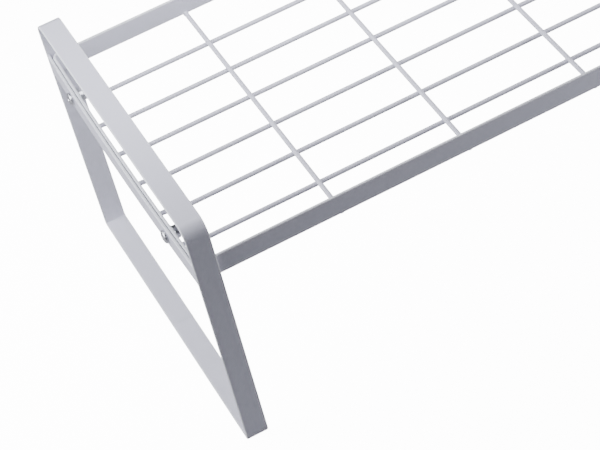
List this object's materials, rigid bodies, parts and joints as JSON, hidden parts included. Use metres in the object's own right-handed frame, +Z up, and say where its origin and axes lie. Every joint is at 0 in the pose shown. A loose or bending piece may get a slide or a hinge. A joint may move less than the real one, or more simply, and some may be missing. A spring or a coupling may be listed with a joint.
{
  "type": "tiered shelf riser",
  "caption": "Free-standing wire shelf in a flat-strip rim, bolted between two closed end loops of bent strip whose top bars stand above the shelf.",
  "frame": {"origin": "centre of the footprint, on the floor under the two end loops", "axes": "+X along the shelf from the left end loop to the right one, +Y from the front rail to the back rail, +Z up"},
  "size_m": [0.6172, 0.312, 0.25],
  "materials": {
    "powder_coat": "satin powder coat on steel, very pale cool grey, with a fine even texture",
    "bright_zinc": "bright zinc-plated steel"
  },
  "bodies": {
    "root": {"left_end_loop": "powder_coat", "right_end_loop": "powder_coat", "left_cross_bar": "powder_coat", "right_cross_bar": "powder_coat", "shelf_rim": "powder_coat", "long_wire_1": "powder_coat", "long_wire_2": "powder_coat", "long_wire_3": "powder_coat", "long_wire_4": "powder_coat", "long_wire_5": "powder_coat", "long_wire_6": "powder_coat", "cross_wire_1": "powder_coat", "cross_wire_2": "powder_coat", "cross_wire_3": "powder_coat", "cross_wire_4": "powder_coat", "left_front_screw": "bright_zinc", "left_back_screw": "bright_zinc", "right_front_screw": "bright_zinc", "right_back_screw": "bright_zinc", "left_front_nut": "bright_zinc", "left_back_nut": "bright_zinc", "right_front_nut": "bright_zinc", "right_back_nut": "bright_zinc"}
  },
  "joints": []
}
